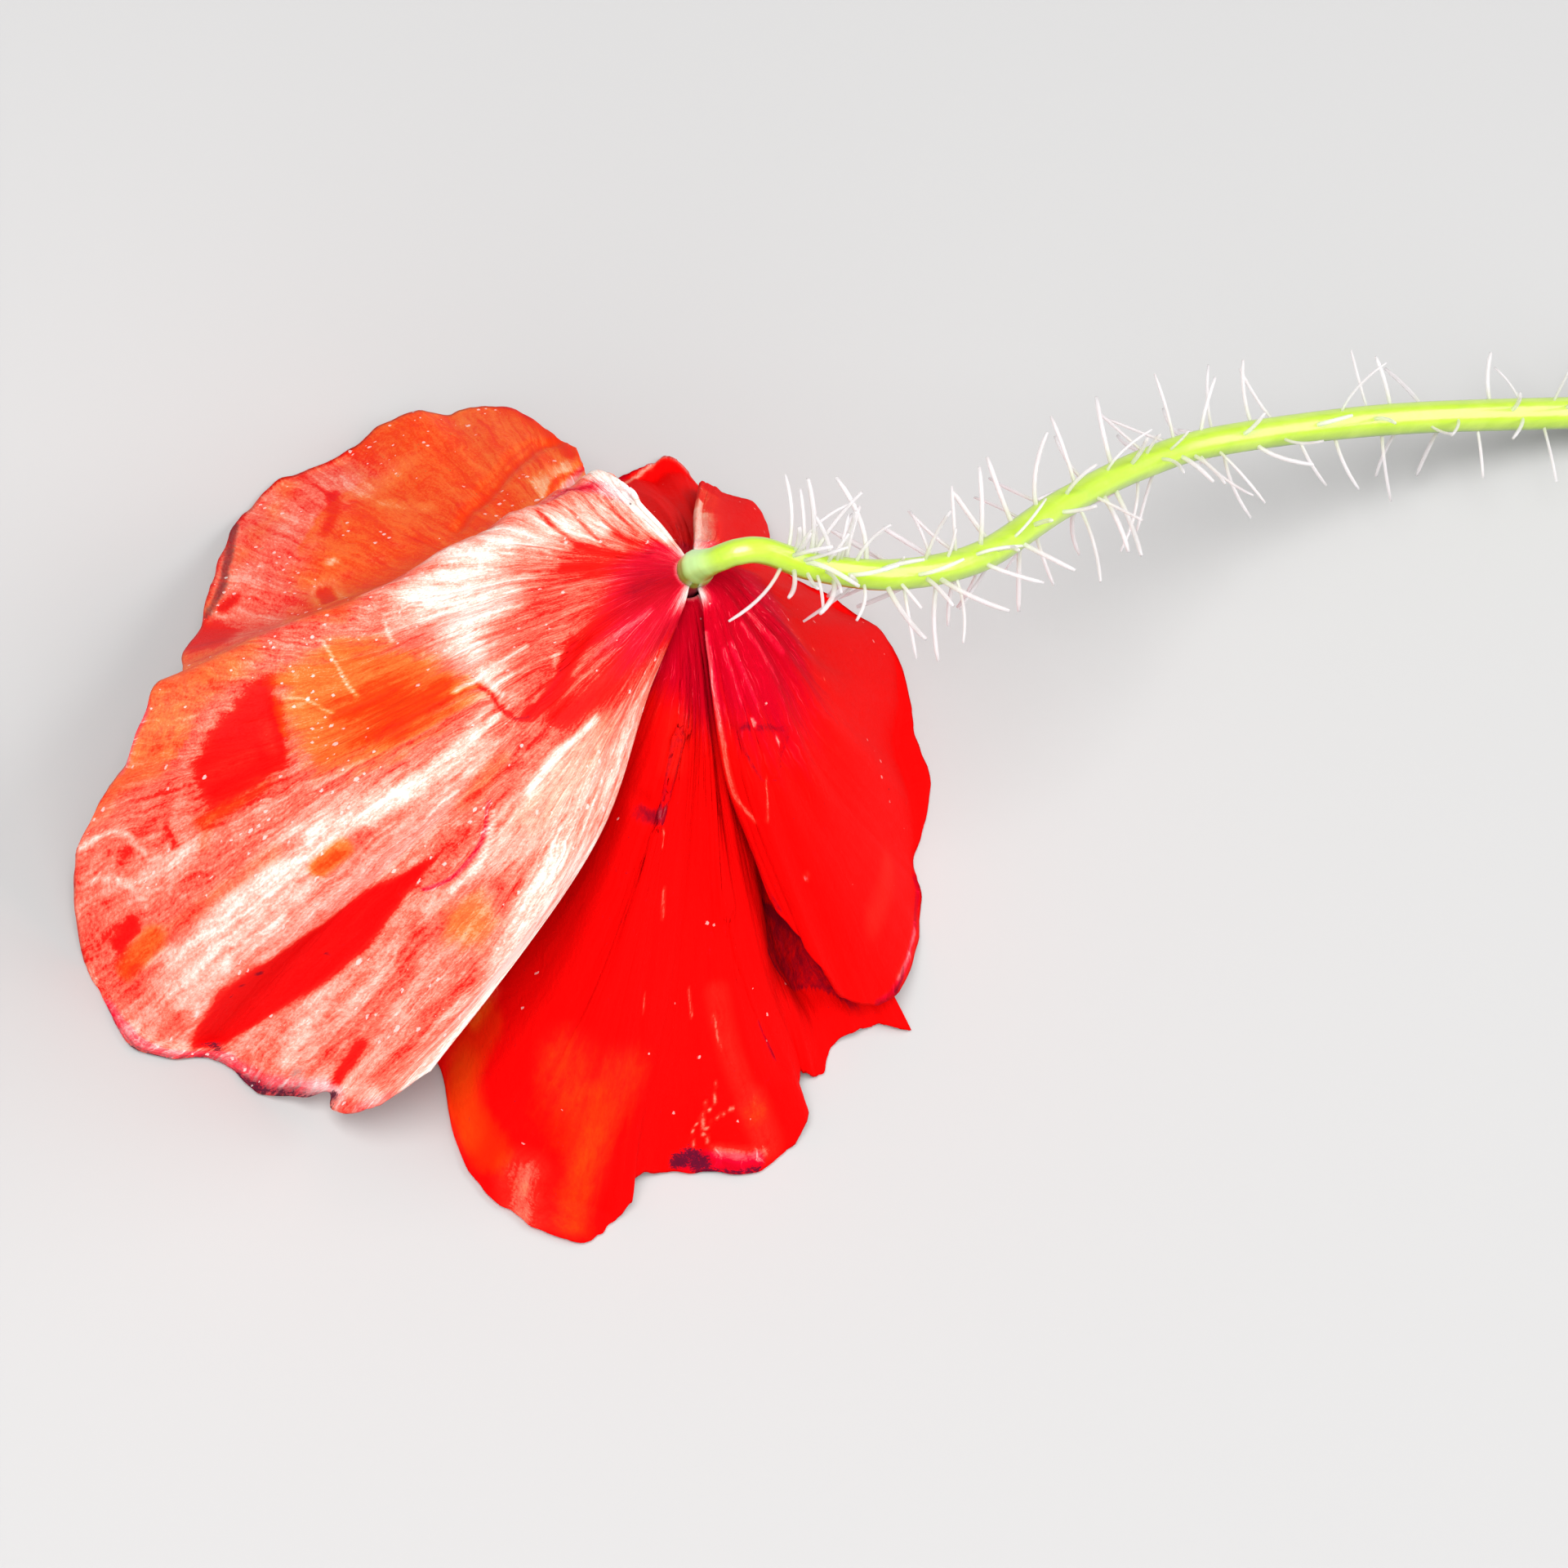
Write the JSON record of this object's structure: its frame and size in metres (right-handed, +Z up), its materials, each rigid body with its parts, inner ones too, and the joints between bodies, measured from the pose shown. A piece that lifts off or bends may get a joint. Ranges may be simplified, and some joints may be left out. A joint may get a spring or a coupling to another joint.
{
  "type": "wilting poppy flower",
  "caption": "Picked red poppy, wilting, lying face down on its petal rims like a small tent, with a hairy green stem arching over to the surface.",
  "frame": {"origin": "on the surface that the flower lies on, under the middle of the whole part's box", "axes": "+X from the flower along the stem to its cut end, +Z up; the receptacle, where petals and stem meet, stands over about x -31 mm, y +1 mm"},
  "size_m": [0.1288, 0.0538, 0.0351],
  "materials": {
    "petal_bleached": "thin wilting petal, red to coral with bleached white streaks and a dried purple rim",
    "petal_red": "thin saturated red petal with fine radial streaks, crimson at its foot",
    "stem_green": "satin yellow-green stalk with pale translucent bristles",
    "ovary_green": "matt grey-green capsule",
    "stamen_dark": "matt blackish purple filaments and anthers"
  },
  "bodies": {
    "root": {"petal_left": "petal_bleached", "petal_right": "petal_red", "petal_bottom": "petal_red", "petal_top": "petal_red", "stem": "stem_green", "ovary": "ovary_green", "stamens": "stamen_dark"}
  },
  "joints": []
}
